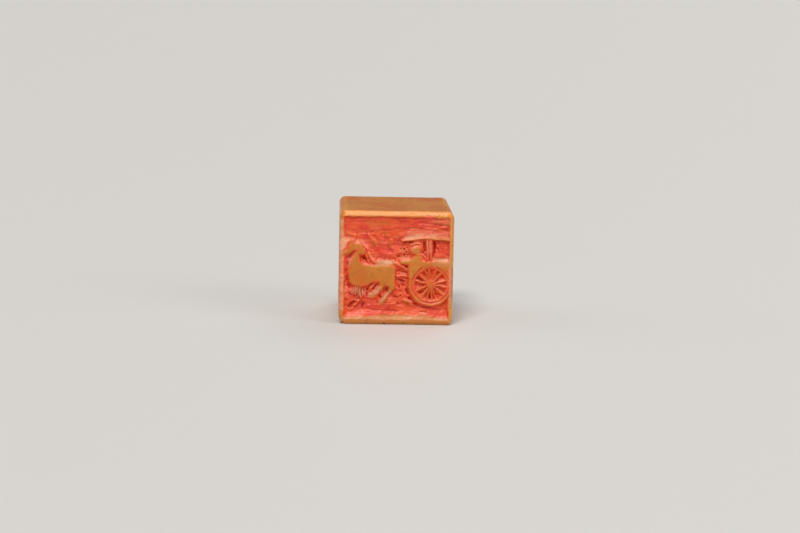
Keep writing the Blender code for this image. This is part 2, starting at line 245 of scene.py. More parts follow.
# Each stroke stands this share of the ground's depth below the face, and this share of its top is rounded off
STROKES = (
    # the horse: neck, ear, far and near hind leg in two strokes each, foreleg, haunch
    (0, 0.15, (
        (-8.7, 12.3, 2.3), (-8.6, 13.3, 1.7), (-8.45, 14.2, 1.15), (-8.35, 15.0, 0.8), (-8.2, 15.9, 1.1),
    )),
    (0.15, 0.8, ((-9.1, 18.0, 0.5), (-8.8, 18.75, 0.3))),
    (0, 0.2, ((-3.0, 9.3, 1.2), (-2.95, 8.4, 0.95), (-3.15, 7.6, 0.95))),
    (0.35, 0.6, ((-3.0, 8.0, 0.8), (-3.6, 7.1, 1.2), (-4.6, 6.0, 1.3), (-5.0, 5.6, 1.0))),
    (0, 0.2, ((-1.1, 8.9, 1.5), (-0.85, 8.0, 1.1), (-1.1, 7.3, 0.8))),
    (0.35, 0.6, ((-0.9, 7.5, 0.9), (-1.5, 6.6, 0.9), (-2.2, 5.6, 0.95), (-2.75, 4.75, 1.0))),
    (0.45, 0.7, ((-6.5, 8.6, 0.6), (-6.6, 7.4, 0.5), (-7.0, 6.1, 0.4), (-7.8, 5.0, 0.5), (-8.8, 3.9, 0.5))),
    (0, 1, ((-4.7, 12.4, 0.9), (-3.0, 12.2, 1.7), (-1.6, 12.15, 1.8), (-0.8, 12.0, 1.5))),
    # its mane, straps and feet
    (0.3, 0.7, ((-6.9, 16.9, 0.5), (-6.0, 15.9, 0.6), (-5.2, 14.9, 0.45), (-4.7, 14.0, 0.4))),
    (0.15, 0.7, ((-6.0, 15.2, 0.35), (-5.2, 14.1, 0.5), (-4.6, 13.0, 0.6))),
    (0.25, 0.7, ((-6.6, 15.2, 0.35), (-6.1, 14.3, 0.35), (-5.8, 13.0, 0.45))),
    (0.4, 0.8, ((-8.6, 5.2, 0.3), (-7.9, 5.1, 0.4), (-7.3, 5.4, 0.35))),
    (0.6, 0.8, ((-8.2, 4.3, 0.4), (-9.0, 3.5, 0.4), (-9.6, 2.9, 0.3))),
    (0.6, 0.8, ((-10.9, 4.3, 0.4), (-10.4, 3.6, 0.35), (-9.8, 3.0, 0.3))),
    (0.35, 0.8, ((-6.0, 6.9, 0.4), (-5.2, 7.7, 0.45), (-4.3, 8.8, 0.4))),
    # shafts
    (0.15, 0.9, ((-0.6, 13.1, 0.9), (0.5, 12.6, 0.9), (1.5, 12.0, 0.45), (2.4, 11.4, 0.4))),
    (0.3, 0.7, ((-0.2, 10.5, 0.3), (1.4, 10.3, 0.35), (3.0, 10.3, 0.4))),
    (0.5, 0.7, ((0.1, 11.6, 0.3), (0.4, 10.6, 0.4), (0.3, 9.9, 0.3))),
    # carriage: front post, floor before and behind the driver, underside, rail
    (0, 0.1, ((3.1, 13.4, 1.3), (2.95, 11.9, 1.1), (3.1, 10.2, 1.1))),
    (0, 0.1, ((1.2, 13.45, 0.9), (2.6, 13.45, 1.2), (4.4, 13.3, 1.6), (6.2, 12.9, 1.2))),
    (0, 0.4, ((6.6, 13.0, 1.3), (8.6, 13.1, 1.4), (10.2, 13.0, 1.4), (12.0, 12.9, 1.4))),
    (0, 0, ((3.6, 12.1, 1.4), (6.0, 12.7, 1.0), (9.0, 12.7, 1.0), (12.0, 12.0, 1.8))),
    (0.2, 0.8, ((5.1, 15.0, 0.4), (5.9, 14.4, 0.4), (6.3, 13.4, 0.4))),
    # the driver's robe and cap
    (0, 0.25, ((4.55, 15.0, 0.7), (4.45, 14.3, 1.3), (4.2, 13.4, 2.6))),
    (0.2, 0.8, ((3.0, 16.8, 0.3), (3.9, 17.3, 0.5), (4.9, 17.1, 0.3))),
    # canopy, finial, and the two ribs of its pole
    (0, 0.3, ((1.2, 17.9, 0.25), (3.0, 18.05, 0.3), (5.0, 18.4, 0.35), (6.6, 18.45, 0.45))),
    (0, 0.3, ((6.4, 18.45, 0.45), (8.4, 18.2, 0.45), (10.9, 17.95, 0.45), (12.0, 17.85, 0.45))),
    (0.15, 0.8, ((7.1, 18.7, 0.45), (7.15, 19.15, 0.3))),
    (0.08, 0.6, ((6.4, 18.6, 0.5), (6.42, 13.2, 0.5))),
    (0.08, 0.5, ((7.15, 18.6, 0.6), (7.2, 13.2, 0.6))),
)

# Lumps that the chisel left in the ground: how much of its depth they fill, then (x, z, width)
MOUNDS = (
    (0.5, ((-11.4, 19.7, 0.5), (-10.3, 19.3, 0.6), (-9.3, 18.9, 0.4))),
    (0.5, ((-0.9, 7.9, 0.5), (0.1, 7.75, 0.45))),
    (0.4, ((7.8, 14.5, 0.4), (9.2, 14.5, 0.6), (10.8, 14.3, 0.5))),
    (0.6, ((-5.9, 19.0, 0.3), (-4.9, 17.8, 0.6), (-4.1, 16.5, 0.4))),
    (0.4, ((-3.9, 18.6, 0.4), (-3.1, 17.9, 0.5))), (0.4, ((-2.3, 19.4, 0.4), (-2.0, 18.8, 0.5))),
    (0.5, ((-1.1, 17.7, 0.4), (-1.2, 16.5, 0.6))),
    (0.55, ((1.9, 5.1, 0.4), (2.6, 4.9, 0.6), (3.4, 4.4, 0.3))),
    (0.35, ((-3.4, 15.4, 0.5), (-2.6, 15.0, 0.6))), (0.3, ((0.2, 19.3, 0.5), (1.2, 18.9, 0.4))),
    (0.35, ((0.6, 17.4, 0.3), (1.1, 17.0, 0.4))), (0.3, ((-0.4, 6.9, 0.4), (0.7, 6.5, 0.5))),
    (0.3, ((-2.0, 4.2, 0.5), (-0.4, 4.3, 0.5))), (0.7, ((-11.2, 16.7, 1.3), (-10.8, 17.6, 1.2))),
    (0.3, ((-10.9, 7.0, 0.5), (-10.8, 5.9, 0.4))), (0.3, ((9.2, 15.4, 1.2), (10.6, 15.6, 1.0))),
    (0.2, ((5.6, 10.9, 1.6), (9.0, 10.9, 1.6))),
    (0.3, ((7.4, 21.9, 0.5), (9.5, 21.95, 0.7), (11.2, 21.8, 0.7))),
    (0.3, ((1.6, 18.9, 0.5), (5.0, 19.35, 0.8), (8.5, 19.2, 0.8), (11.5, 18.8, 0.6))),
)

# Strands of the fringe below the horse's chest: x, width, z of the lower end
FRINGE = ((-8.85, 0.26, 6.2), (-8.38, 0.3, 5.5), (-7.95, 0.22, 6.0), (-7.5, 0.3, 5.6), (-7.05, 0.24, 6.1))
FRINGE_TOP = 8.6
FRINGE_MIDDLE = 7.4
FRINGE_STEEPNESS = 2.2
WHEEL_CENTRE = (7.25, 8.64)
WHEEL_RADIUS = 4.55
RIM_INNER_RADIUS = 3.95
FELLOE_INNER_RADIUS = 3.3
# The line that is cut round the rim: radius, half width, depth
RIM_LINE = (4.0, 0.15, 0.12)
HUB_RADIUS = 1.3
# Its spokes: degrees from the right, width
SPOKES = (
    (15, 0.22), (47, 0.24), (72, 0.17), (98, 0.17), (114, 0.16), (139, 0.24), (165, 0.2), (203, 0.26),
    (236, 0.3), (258, 0.17), (277, 0.17), (293, 0.17), (323, 0.28), (351, 0.24),
)
SPOKE_STEEPNESS = 1.5

# Gouge cuts in the ground and beside the forms: how deep, then points of (x, z, width)
GOUGES = (
    # round the horse's head, neck and chest
    (0.25, ((-9.7, 14.6, 0.25), (-9.6, 14.2, 0.2))), (0.25, ((-9.45, 14.95, 0.15), (-8.9, 15.4, 0.12))),
    (0.4, ((-6.85, 14.9, 0.3), (-6.75, 14.0, 0.35))), (0.35, ((-6.35, 13.85, 0.3), (-6.25, 13.4, 0.3))),
    (0.35, ((-5.1, 14.8, 0.3), (-4.7, 14.2, 0.3))), (0.35, ((-5.85, 15.8, 0.15), (-5.35, 15.2, 0.25))),
    (0.3, ((-10.25, 13.1, 0.25), (-10.2, 12.5, 0.25))),
    (0.35, ((-10.35, 10.2, 0.3), (-10.1, 9.3, 0.3), (-9.7, 8.6, 0.25))),
    (0.3, ((-9.85, 8.2, 0.28), (-9.8, 7.7, 0.2))), (0.3, ((-9.65, 6.6, 0.25), (-9.5, 6.2, 0.22))),
    (0.25, ((-10.8, 8.4, 0.2), (-10.7, 7.6, 0.2))),
    # between and under the legs
    (0.4, ((-5.95, 8.2, 0.35), (-5.4, 8.75, 0.4))), (0.35, ((-4.75, 7.6, 0.3), (-4.35, 8.3, 0.3))),
    (0.35, ((-6.0, 7.4, 0.25), (-6.2, 6.2, 0.25))), (0.35, ((-3.4, 6.1, 0.35), (-3.15, 5.6, 0.35))),
    (0.3, ((-4.1, 4.95, 0.2), (-3.8, 4.65, 0.25))), (0.4, ((-1.85, 7.7, 0.3), (-1.85, 7.0, 0.35))),
    (0.22, ((-8.7, 4.8, 0.3), (-9.2, 4.3, 0.4), (-9.9, 3.6, 0.2))),
    (0.22, ((-6.7, 4.6, 0.2), (-6.95, 4.0, 0.2), (-7.15, 3.5, 0.22))),
    (0.25, ((-8.3, 6.05, 0.2), (-8.0, 6.15, 0.2))), (0.3, ((-10.7, 5.4, 0.3), (-10.3, 5.0, 0.3))),
    (0.25, ((-2.6, 7.9, 0.2), (-2.45, 7.3, 0.25))),
    # between the horse and the carriage
    (0.4, ((1.5, 12.8, 0.2), (2.15, 12.25, 0.35))),
    (0.3, ((0.5, 11.5, 0.25), (1.0, 11.2, 0.35), (2.0, 11.0, 0.3))),
    (0.4, ((0.4, 9.55, 0.2), (1.1, 9.2, 0.4), (1.7, 9.0, 0.25))), (0.3, ((1.3, 8.6, 0.2), (1.6, 8.3, 0.3))),
    (0.3, ((0.6, 8.25, 0.22), (0.7, 7.9, 0.2))), (0.25, ((-0.35, 5.95, 0.22), (0.3, 5.8, 0.2))),
    (0.35, ((2.2, 7.4, 0.35), (2.45, 6.6, 0.3))), (0.3, ((2.8, 5.7, 0.25), (3.1, 5.35, 0.25))),
    (0.3, ((3.4, 5.4, 0.22), (3.65, 5.15, 0.2))), (0.3, ((3.85, 4.7, 0.22), (4.2, 4.4, 0.2))),
    (0.13, ((-6.0, 3.15, 0.1), (-4.6, 3.05, 0.3), (-3.2, 3.1, 0.1))),
    (0.22, ((-2.4, 3.0, 0.1), (-1.0, 2.9, 0.35), (0.3, 2.85, 0.3))),
    (0.25, ((5.3, 2.75, 0.25), (6.4, 2.6, 0.25))),
    (0.25, ((5.6, 3.9, 0.15), (6.5, 3.75, 0.25), (7.4, 3.8, 0.15))),
    # between the strands of the fringe
    (0.3, ((-8.62, 7.9, 0.06), (-8.6, 6.2, 0.12))), (0.3, ((-8.18, 7.6, 0.06), (-8.12, 6.0, 0.12))),
    (0.3, ((-7.74, 8.0, 0.06), (-7.7, 6.3, 0.12))), (0.3, ((-7.3, 7.7, 0.06), (-7.2, 6.1, 0.12))),
    # between the wheel's spokes
    (0.3, ((5.85, 11.0, 0.2), (6.15, 10.4, 0.2))), (0.25, ((7.35, 11.4, 0.18), (7.38, 10.8, 0.15))),
    (0.35, ((8.9, 11.2, 0.2), (8.5, 10.5, 0.18))), (0.35, ((4.7, 9.85, 0.2), (5.5, 9.5, 0.2))),
    (0.2, ((4.2, 8.5, 0.15), (5.8, 8.5, 0.15))), (0.25, ((10.2, 10.3, 0.2), (9.6, 10.0, 0.15))),
    (0.25, ((9.2, 7.4, 0.18), (10.2, 7.1, 0.2))), (0.35, ((8.35, 6.7, 0.18), (8.7, 5.8, 0.22))),
    (0.3, ((7.05, 6.4, 0.16), (7.08, 5.6, 0.2))), (0.35, ((5.1, 6.7, 0.2), (5.65, 7.0, 0.15))),
    # under the canopy, on both sides of its pole
    (0.4, ((1.7, 17.5, 0.3), (2.5, 17.75, 0.4), (3.4, 17.85, 0.3))),
    (0.3, ((2.75, 17.3, 0.3), (3.2, 17.5, 0.3))), (0.35, ((4.6, 18.05, 0.2), (5.5, 18.1, 0.25))),
    (0.45, ((5.75, 17.4, 0.3), (5.9, 16.6, 0.35), (5.95, 15.8, 0.3))),
    (0.35, ((5.5, 15.3, 0.3), (5.8, 14.9, 0.25))),
    (0.45, ((7.85, 17.8, 0.35), (8.0, 17.0, 0.35), (8.0, 16.2, 0.4), (7.8, 15.4, 0.35), (7.65, 14.6, 0.3))),
    (0.35, ((8.5, 17.85, 0.25), (9.4, 17.8, 0.3), (10.8, 17.6, 0.25))),
    (0.3, ((8.5, 16.2, 0.2), (8.7, 15.7, 0.2))),
    # long sweeps over the canopy
    (0.16, ((1.6, 20.1, 0.1), (3.6, 20.5, 0.3), (5.6, 20.4, 0.1))),
    (0.15, ((5.4, 20.9, 0.1), (8.0, 20.6, 0.25), (11.3, 19.7, 0.1))),
    (0.14, ((4.6, 21.5, 0.1), (8.0, 21.35, 0.22), (11.4, 20.8, 0.1))),
)

# Round punch marks: x, z, radius, depth
PUNCH_MARKS = (
    (1.7, 16.0, 0.17, 0.3), (1.0, 16.05, 0.13, 0.25), (1.7, 14.85, 0.16, 0.3), (0.4, 14.5, 0.2, 0.32),
    (2.05, 15.4, 0.14, 0.25), (0.9, 15.2, 0.12, 0.2), (-2.5, 13.75, 0.13, 0.22), (-1.5, 13.8, 0.13, 0.22),
    (-0.6, 14.0, 0.14, 0.25), (1.3, 16.7, 0.13, 0.22), (2.3, 16.3, 0.13, 0.22), (2.5, 14.9, 0.12, 0.2),
    (-0.2, 13.5, 0.15, 0.25), (0.7, 13.2, 0.14, 0.25), (-3.3, 14.3, 0.12, 0.16), (8.7, 17.2, 0.13, 0.25),
    (-10.4, 11.5, 0.14, 0.25), (-10.55, 9.0, 0.14, 0.25), (-0.2, 8.1, 0.14, 0.22), (0.9, 7.0, 0.14, 0.2),
    (0.2, 4.6, 0.13, 0.18), (-0.7, 7.0, 0.12, 0.2), (0.9, 6.1, 0.15, 0.22), (-9.2, 6.9, 0.1, 0.2),
)


def curve_through(points, closed=False):
    """Rows along a smooth curve through the given rows."""
    rows = np.array(points, float)
    last = len(rows) - 1
    made = []
    for i in range(len(rows) if closed else last):
        near = [i - 1, i, i + 1, i + 2]
        if closed:
            near = [k % len(rows) for k in near]
        before, start, end, after = (rows[min(max(k, 0), last)] for k in near)
        bend = 2 * before - 5 * start + 4 * end - after
        twist = 3 * (start - end) - before + after
        for t in np.arange(CURVE_STEPS) / CURVE_STEPS:
            made.append(start + ((end - before) * t + bend * t**2 + twist * t**3) / 2)
    if not closed:
        made.append(rows[-1])
    return np.array(made)


def segment_distance(places, start, end):
    """Distance to a segment, and how far along it the nearest point is, from 0 to 1."""
    way = end - start
    along = np.clip(((places - start) @ way) / max(way @ way, 1e-12), 0, 1)
    return np.linalg.norm(places - start - along[..., None] * way, axis=-1), along


def stroke_distance(places, points):
    """How far each place is outside a stroke of (x, z, width). Inside it, this is below zero."""
    rows = curve_through(points)
    least = np.full(places.shape[:-1], 1e9)
    for start, end in zip(rows, rows[1:]):
        away, along = segment_distance(places, start[:2], end[:2])
        half_width = (start[2] + (end[2] - start[2]) * along) / 2
        least = np.minimum(least, away - half_width)
    return least


def patch_distance(places, points):
    """The same for a closed outline of (x, z)."""
    rows = curve_through(points, closed=True)
    least = np.full(places.shape[:-1], 1e9)
    inside = np.zeros(places.shape[:-1], bool)
    for start, end in zip(rows, np.roll(rows, -1, axis=0)):
        least = np.minimum(least, segment_distance(places, start, end)[0])
        if start[1] != end[1]:
            spans = (start[1] > places[..., 1]) != (end[1] > places[..., 1])
            crossing = start[0] + (places[..., 1] - start[1]) * (end[0] - start[0]) / (end[1] - start[1])
            inside ^= spans & (places[..., 0] < crossing)
    return np.where(inside, -least, least)


def form_distances(places):
    """(share sunk, share rounded off, distance outside) of every carved form."""
    yield 0, 0, patch_distance(places, TRUNK)
    yield 0, 0.1, patch_distance(places, HORSE_HEAD)
    yield 0.02, 0.3, patch_distance(places, DRIVER_HEAD)
    for sunk, rounded, points in STROKES:
        yield sunk, rounded, stroke_distance(places, points)
    for x, width, foot in FRINGE:
        thin = 0.8 * width
        strand = ((x, FRINGE_TOP, width), (x - 0.08, FRINGE_MIDDLE, thin), (x + 0.15, foot, thin))
        yield 0.12, 0.5, FRINGE_STEEPNESS * stroke_distance(places, strand)
    centre = np.array(WHEEL_CENTRE)
    out = np.linalg.norm(places - centre, axis=-1)
    yield 0, 0, np.maximum(out - WHEEL_RADIUS, RIM_INNER_RADIUS - out)
    yield 0.13, 0.1, np.maximum(out - RIM_INNER_RADIUS, FELLOE_INNER_RADIUS - out)
    yield 0.12, 0.8, out - HUB_RADIUS
    for degrees, width in SPOKES:
        way = np.array((math.cos(math.radians(degrees)), math.sin(math.radians(degrees))))
        inner = centre + 0.6 * HUB_RADIUS * way
        outer = centre + RIM_INNER_RADIUS * way
        spoke_line = ((*inner, 1.5 * width), (*outer, 2 * width))
        yield 0.14, 0.4, SPOKE_STEEPNESS * stroke_distance(places, spoke_line)


def wall_depth(away, width):
    """Depth down a form's side: a rounded shoulder, then a slope that goes on for ever."""
    return GROUND_DEPTH / width * (away + np.sqrt(away * away + SHOULDER * SHOULDER)) / 2


def rim_slopes(places, x, z):
    """Depth down the slopes inside the four rims, which fall to the ground's depth over a run of each."""
    from_left = x + (LEFT_RIM + 0.2 * smooth_share(z, 13, 18) + 0.15 * clouds(places, (9.0, 1.6), 34))
    from_right = RIGHT_RIM + 0.12 * clouds(places, (9.0, 1.6), 35) - x
    from_top = TOP_RIM - 0.12 * smooth_share(x, 6, 8) + 0.06 * clouds(places, (1.6, 9.0), 36) - z
    from_foot = z - FOOT_RIM - 0.2 * clouds(places, (1.8, 9.0), 37)
    foot_run = FOOT_RUN + 0.25 * smooth_share(x, -9, -5)
    surface = from_left * GROUND_DEPTH / LEFT_RUN
    for inside, run in ((from_right, RIGHT_RUN), (from_top, TOP_RUN), (from_foot, foot_run)):
        surface = soft_least(surface, inside * GROUND_DEPTH / run, RIM_FILLET)
    return surface


def ground_depth(places, drawn):
    """Depth of the ground: less above the canopy and at the top, more along the foot, and nowhere flat."""
    z = drawn[..., 1]
    ground = GROUND_DEPTH * (
        0.94
        - 0.28 * smooth_share(z, 19.2, 20.6)
        - 0.18 * smooth_share(z, 21.4, 22.4)
        + 0.14 * (1 - smooth_share(z, 4.2, 5.0))
        + 0.12 * clouds(places, (4.0, 2.2), 31)
        + 0.10 * clouds(places, (1.3, 0.7), 32)
        + 0.05 * clouds(places, (0.5, 0.4), 33)
    )
    for share, points in MOUNDS:
        away = stroke_distance(drawn, points)
        ground = ground * (1 - share * (1 - smooth_share(away, -0.45, 0.55)))
    return ground


def carved_depth(places):
    """How far below the face the carving is at each place, and how far each is from a form's edge."""
    wobble = []
    for seed in (11, 21):
        coarse = clouds(places, (1.3, 1.3), seed)
        fine = clouds(places, (0.45, 0.45), seed + 1)
        wobble.append(coarse + 0.5 * fine)
    wobble = np.stack(wobble, axis=-1)
    drawn = places + OUTLINE_WOBBLE * wobble
    surface = rim_slopes(places, drawn[..., 0], drawn[..., 1])
    inside_form = np.full(places.shape[:-1], -FAR)
    for sunk, rounded, away in form_distances(drawn):
        uphill = np.gradient(away, axis=0)
        uphill = uphill / np.maximum(np.hypot(uphill, np.gradient(away, axis=1)), 1e-9)
        uphill = np.clip(uphill, 0, 1)
        half_width = max(-away.min(), THINNEST_HALF)
        shoulder = rounded * min(half_width, WIDEST_HALF)
        inset = np.maximum(min(UPPER_EDGE_INSET, 0.5 * half_width) * uphill, shoulder)
        upper_extra = UPPER_WALL_EXTRA * min(1.6 * half_width, 1) * uphill
        width = WALL_WIDTH + upper_extra + shoulder
        form = sunk * GROUND_DEPTH + wall_depth(away + inset, width * (1 - 0.5 * sunk))
        surface = soft_least(surface, form, FORM_FILLET)
        inside_form = np.maximum(inside_form, -away)
    depth = soft_least(surface, ground_depth(places, drawn), FOOT_FILLET)
    in_ground = smooth_share(depth, 0.05, 0.4)
    for deep, points in GOUGES:
        away = stroke_distance(places + GOUGE_WOBBLE * wobble, points)
        depth = depth + GOUGE_GAIN * deep * in_ground * (1 - smooth_share(away, -0.2, 0.3))
    for mark_x, mark_z, radius, deep in PUNCH_MARKS:
        away = np.hypot(drawn[..., 0] - mark_x, drawn[..., 1] - mark_z) / (PUNCH_SPREAD * radius)
        depth = depth + PUNCH_GAIN * deep * in_ground * np.clip(1 - away * away, 0, 1)
    out = np.linalg.norm(drawn - np.array(WHEEL_CENTRE), axis=-1)
    line_radius, line_half, line_depth = RIM_LINE
    rim_line = np.clip(1 - ((out - line_radius) / line_half) ** 2, 0, 1)
    depth = depth + line_depth * rim_line * smooth_share(clouds(places, (2.2, 2.2), 41), -0.5, 0.4)
    return np.maximum(depth, 0), inside_form


# Red paste beyond what lies in the carving: x, z, half width, half height, degrees turned, how much.
# Below zero it is rubbed away
PASTE_PATCHES = (
    # below the horse's haunch, then the wheel and its hub
    (-0.4, 7.85, 0.8, 0.4, 0, -0.7), (7.25, 8.64, 5.0, 5.0, 0, 0.38), (7.25, 8.64, 3.6, 3.6, 0, -0.45),
    (7.25, 8.64, 1.5, 1.5, 0, 0.2),
    # the foot, the left rim, and a smear over the top edge
    (0.0, 1.45, 12.5, 0.85, 0, -0.75), (-11.6, 12.0, 1.0, 10.8, 0, 0.5), (6.6, 22.95, 1.1, 0.25, 0, 0.8),
    # stone that shows through the paste of the ground
    (-4.0, 21.4, 4.2, 0.9, 2, -0.55), (9.6, 21.5, 2.2, 0.3, -6, -0.6), (9.0, 20.4, 2.4, 0.22, -8, -0.55),
    (3.4, 20.5, 1.9, 0.3, 4, -0.65), (-4.8, 17.4, 0.55, 1.6, 32, -0.7), (-1.2, 17.0, 0.5, 1.0, 0, -0.7),
    (-2.4, 19.4, 0.7, 0.55, 0, -0.6), (-10.2, 19.3, 1.5, 0.45, -12, -0.5), (2.3, 4.8, 1.1, 0.45, -15, -0.7),
    (9.3, 2.7, 1.8, 0.4, 0, -0.3), (-11.1, 15.0, 0.7, 0.45, 0, -0.6),
    # forms whose sides are rubbed bare, and the top right of the ground
    (-4.6, 6.4, 1.9, 0.8, 50, -0.7), (-2.2, 6.0, 2.0, 0.7, 53, -0.7), (-2.7, 4.85, 0.65, 0.45, 0, -0.9),
    (3.6, 18.7, 3.3, 0.6, 8, -0.6), (8.7, 18.7, 2.8, 0.55, -5, -0.6), (-2.5, 13.1, 2.5, 0.75, 0, -0.85),
    (9.1, 14.1, 2.3, 0.45, 0, -0.7), (1.9, 14.2, 1.4, 0.4, 0, -0.65), (9.6, 22.0, 2.6, 1.0, 0, -0.35),
    (-8.0, 7.1, 1.5, 1.4, 0, -0.45), (-7.8, 5.6, 1.4, 0.5, 15, -0.4),
    # forms that paste has stained, and the shafts, where it is thin
    (6.8, 16.0, 1.2, 2.9, 0, 0.45), (1.2, 10.3, 1.5, 2.4, 0, -0.4), (4.2, 13.4, 2.6, 1.6, 0, 0.2),
    (-7.6, 8.6, 2.1, 0.75, 0, 0.3), (-4.6, 9.2, 1.5, 0.7, 10, 0.3), (-6.9, 16.7, 1.0, 0.6, -55, 0.5),
    (-9.0, 17.3, 0.9, 0.4, 15, 0.5), (-9.7, 16.2, 0.6, 0.9, 0, 0.3), (-8.6, 15.6, 0.8, 0.4, 25, 0.45),
    (11.3, 9.5, 0.6, 4.0, 0, 0.3),
)

# Painted highlights: slopes that catch the light, and places along the rims and the foot, are painted pale as
# a highlight: how pale, then (x, z, width)
PAINTED_HIGHLIGHT_SLOPES = (
    # left of the head, down the neck, and the ear
    (1.5, ((-11.7, 15.9, 0.4), (-11.4, 17.0, 1.7), (-10.9, 17.8, 1.1), (-9.8, 18.2, 0.3))),
    (1.0, ((-10.15, 12.4, 0.45), (-9.6, 13.9, 0.45), (-8.8, 15.2, 0.3))),
    (0.6, ((-8.8, 17.3, 0.3), (-8.2, 17.8, 0.3))),
    (0.5, ((-7.6, 17.7, 0.4), (-6.6, 17.0, 0.5), (-6.1, 16.0, 0.3))),
    # down the legs, a fold at the foot, the fringe and a strap
    (1.25, ((-3.5, 7.9, 0.25), (-4.3, 7.1, 0.55), (-5.5, 6.1, 0.5))),
    (0.95, ((-1.2, 7.2, 0.15), (-2.2, 6.1, 0.2), (-3.4, 4.7, 0.2))),
    (0.25, ((-9.5, 3.1, 0.3), (-8.4, 4.2, 0.3))), (1.0, ((-8.8, 7.1, 1.4), (-7.2, 6.9, 1.6))),
    (0.9, ((-5.7, 15.0, 0.15), (-4.9, 13.7, 0.25))),
    # along the rims and the foot
    (0.9, ((-11.5, 2.5, 0.6), (-11.5, 12.0, 0.6), (-11.6, 22.0, 0.6))),
    (0.5, ((-11.0, 1.3, 1.2), (0.0, 1.2, 1.3), (11.0, 1.3, 1.2))),
    (0.7, ((11.5, 3.0, 0.5), (11.4, 12.0, 0.6), (11.5, 21.5, 0.5))),
    (0.4, ((-10.6, 7.8, 0.8), (-10.4, 6.0, 0.8))),
    # the carriage's side and the pole
    (0.3, ((8.0, 13.1, 0.8), (10.8, 13.0, 0.8))), (0.5, ((6.8, 14.6, 0.5), (6.8, 17.8, 0.5))),
    # haunch, canopy, rail, and the ground above the canopy
    (0.8, ((-4.4, 13.35, 0.3), (-2.5, 13.45, 0.5), (-0.8, 13.2, 0.5))),
    (1.2, ((1.6, 18.4, 0.4), (3.4, 18.7, 0.6), (5.2, 18.95, 0.6))),
    (0.9, ((5.2, 18.95, 0.6), (6.6, 19.05, 0.65), (9.0, 18.85, 0.6), (11.4, 18.6, 0.5))),
    (0.9, ((7.7, 13.85, 0.4), (9.2, 13.9, 0.5), (10.9, 13.85, 0.4))),
    (0.9, ((1.1, 14.1, 0.3), (2.7, 14.15, 0.4))),
    (0.3, ((2.5, 19.5, 0.6), (6.5, 19.8, 0.8), (10.8, 19.4, 0.8))),
    (0.35, ((6.1, 22.55, 0.4), (7.2, 22.6, 0.4))), (0.25, ((7.7, 22.1, 0.8), (10.9, 22.0, 1.0))),
    # the ground between the horse and the canopy
    (0.25, ((-3.0, 17.0, 0.8), (-2.0, 15.4, 0.9))), (0.25, ((0.2, 18.0, 0.8), (0.6, 16.6, 0.8))),
    # the driver's head, and the ground before it and by the horse's chest
    (0.3, ((3.2, 15.8, 0.7), (4.6, 15.8, 0.8))), (0.4, ((0.9, 15.6, 0.5), (2.2, 15.7, 0.9))),
    (0.3, ((-10.4, 12.5, 0.2), (-10.6, 9.2, 0.4), (-10.7, 7.0, 0.6))),
)

# Nicks along the stone's edges: x, y from the carved end, z, radius, depth
NICKS = (
    (8.9, 0.05, 22.95, 0.5, 0.3), (9.6, 0.05, 22.95, 0.45, 0.25), (-11.5, 0.2, 5.8, 0.5, 0.16),
    (-11.6, 0.4, 10.9, 0.45, 0.14), (11.45, 0.3, 3.4, 0.7, 0.22), (11.5, 0.5, 14.2, 0.4, 0.12),
    (-6.2, 0.6, 0.6, 0.7, 0.2), (-2.4, 0.9, 0.1, 0.5, 0.18), (1.7, 0.7, 0.2, 0.45, 0.15),
    (-8.4, 0.7, 23.4, 0.5, 0.1), (3.2, 0.6, 23.5, 0.4, 0.1), (-10.9, 30.0, 22.6, 0.9, 0.3),
    (4.0, 30.0, 23.9, 0.8, 0.2), (11.9, 30.0, 8.0, 0.9, 0.25), (-12.0, 30.0, 15.5, 0.7, 0.18),
)


def ellipse_share(places, centre_x, centre_z, half_width, half_height, degrees):
    """1 in the middle of a tilted ellipse, 0 well outside it."""
    turn = math.radians(degrees)
    x, z = places[..., 0] - centre_x, places[..., 1] - centre_z
    along = (x * math.cos(turn) + z * math.sin(turn)) / half_width
    across = (z * math.cos(turn) - x * math.sin(turn)) / half_height
    return 1 - smooth_share(np.hypot(along, across), 0.55, 1.15)


def paste_cover(points, depth, inside_form):
    """How much paste lies at each point of the stone, from 0 to 1. Less than about 0.5 is a thin stain."""
    places = points[:, (0, 2)]
    from_front = points[:, 1] - FRONT - depth
    ragged = 0.05 * clouds(places, (0.8, 0.5), 51) + 0.03 * clouds(places, (0.25, 0.25), 52)
    stain = 1 - smooth_share(inside_form + 0.3 * clouds(places, (0.9, 0.9), 55), -0.3, STAIN_REACH)
    cover = np.maximum(smooth_share(depth + ragged, 0.08, 0.36), 0.36 * stain)
    edge = places + 0.35 * np.stack([clouds(places, (0.9, 0.5), seed) for seed in (53, 54)], axis=-1)
    for *ellipse, amount in PASTE_PATCHES:
        share = ellipse_share(edge, *ellipse)
        if amount > 0:
            cover = cover + (1 - cover) * amount * share
        else:
            cover = cover * (1 + amount * share)
    cover = cover * (1 - smooth_share(from_front, *PASTE_END))
    return np.where(from_front < 0.01, np.maximum(cover, 0.002), cover)


def painted_highlight_cover(points, depth, face_slope):
    """How pale the paste is painted at each point, as a painted highlight: on slopes that look up and in
    listed places.
    """
    places = points[:, (0, 2)]
    pale = np.zeros(len(points))
    pale[: len(face_slope)] = 0.8 * smooth_share(face_slope, 0.35, 1.3)
    for share, slope in PAINTED_HIGHLIGHT_SLOPES:
        away = stroke_distance(places, slope) + 0.15 * clouds(places, (0.7, 0.5), 57)
        pale = np.maximum(pale, share * (1 - smooth_share(away, -0.25, 0.45)))
    pale = pale * (1 - 0.6 * ellipse_share(places, *WHEEL_CENTRE, RIM_INNER_RADIUS, RIM_INNER_RADIUS, 0))
    pale = pale * (1 - 0.6 * ellipse_share(places, -8.6, 2.2, 4.0, 1.2, 0))
    return pale * (1 - smooth_share(points[:, 1] - FRONT - depth, *PASTE_END))


